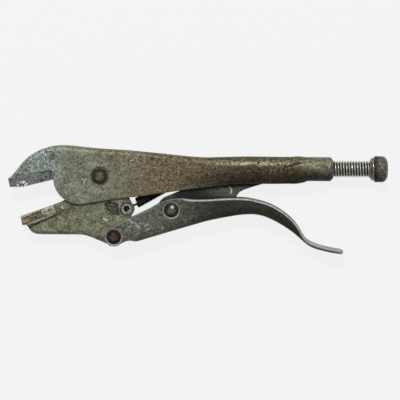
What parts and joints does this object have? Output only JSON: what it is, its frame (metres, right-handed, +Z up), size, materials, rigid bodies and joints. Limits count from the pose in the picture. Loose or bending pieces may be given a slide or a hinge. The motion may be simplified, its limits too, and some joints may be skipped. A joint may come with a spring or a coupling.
{
  "type": "locking pliers",
  "caption": "Locking pliers with toothed jaws, a toggle link, a coil spring and a knurled adjusting screw in a folded steel handle.",
  "frame": {"origin": "on the jaw pivot's axis, in the plane that the tool lies on, which is the underside of the jaw rivet's head", "axes": "+X along the tool from the jaws to the adjusting screw's knob, +Y from the lower handle to the upper handle, +Z up through the tool's thickness as it lies on its side"},
  "size_m": [0.25, 0.0718, 0.018],
  "materials": {
    "handle_steel": "worn nickel plate with brown rust patina",
    "upper_jaw_steel": "worn, streaked",
    "lower_jaw_steel": "worn, mottled",
    "upper_plate_steel": "dark grey, worn teeth",
    "lower_plate_steel": "brown, worn teeth",
    "lever_steel": "worn plate, light edges",
    "link_steel": "dark, stained",
    "rivet_steel": "brown with bright rims",
    "pin_steel": "worn bright rim",
    "spring_steel": "black oxide",
    "screw_steel": "bright crests, dirty valleys, brownish knob"
  },
  "bodies": {
    "main": {"upper_handle": "handle_steel", "upper_jaw": "upper_jaw_steel", "upper_jaw_plate": "upper_plate_steel", "jaw_fixing_pins": "rivet_steel"},
    "jaw_rivet_body": {"jaw_rivet": "rivet_steel"},
    "lower_jaw_body": {"lower_jaw": "lower_jaw_steel", "lower_jaw_plate": "lower_plate_steel"},
    "handle_rivet_body": {"handle_rivet": "rivet_steel"},
    "lower_handle_body": {"lower_handle": "lever_steel", "link_rivet": "rivet_steel"},
    "toggle_link_body": {"toggle_link": "link_steel"},
    "spring_pin_body": {"spring_pin": "pin_steel"},
    "spring_body": {"opening_spring": "spring_steel"},
    "screw_body": {"adjusting_screw": "screw_steel"}
  },
  "joints": [
    {"name": "lever_swing", "type": "hinge", "parent": "handle_rivet_body", "child": "lower_handle_body", "pos_m": [0.00933, -0.04, 0.009], "axis": [0, 0, -1], "range_deg": [0, 74]},
    {"name": "screw_travel", "type": "slide", "parent": "main", "child": "screw_body", "axis": [1, 0, 0], "range_m": [-0.0141, 0.003]},
    {"name": "jaw_set_by_screw", "type": "hinge", "parent": "main", "child": "jaw_rivet_body", "pos_m": [0, 0, 0.009], "axis": [0, 0, 1], "range_deg": [-19.2, 4.1]},
    {"name": "jaw_swing", "type": "hinge", "parent": "jaw_rivet_body", "child": "lower_jaw_body", "pos_m": [0, 0, 0.009], "axis": [0, 0, 1], "range_deg": [0, 25.2]},
    {"name": "lever_set_by_screw", "type": "hinge", "parent": "lower_jaw_body", "child": "handle_rivet_body", "pos_m": [0.00933, -0.04, 0.009], "axis": [0, 0, 1], "range_deg": [-4.4, 20.4]},
    {"name": "link_swing", "type": "hinge", "parent": "lower_handle_body", "child": "toggle_link_body", "pos_m": [0.04704, -0.0224, 0.009], "axis": [0, 0, 1], "range_deg": [0, 72.6]},
    {"name": "spring_set_by_screw", "type": "hinge", "parent": "lower_jaw_body", "child": "spring_pin_body", "pos_m": [0.01767, -0.02175, 0.009], "axis": [0, 0, 1], "range_deg": [-4.2, 19.6]},
    {"name": "spring_swing", "type": "hinge", "parent": "spring_pin_body", "child": "spring_body", "pos_m": [0.01767, -0.02175, 0.009], "axis": [0, 0, 1], "range_deg": [-31.6, 0], "deforming": ["opening_spring"]}
  ],
  "couplings": [
    {"joint": "jaw_swing", "follows": "lever_swing", "ratio": 0.33758},
    {"joint": "link_swing", "follows": "lever_swing", "ratio": 0.97838},
    {"joint": "spring_swing", "follows": "lever_swing", "ratio": -0.4238},
    {"joint": "jaw_set_by_screw", "follows": "screw_travel", "rad_per_m": 23.69},
    {"joint": "lever_set_by_screw", "follows": "screw_travel", "rad_per_m": -24.8},
    {"joint": "spring_set_by_screw", "follows": "screw_travel", "rad_per_m": -23.8}
  ]
}
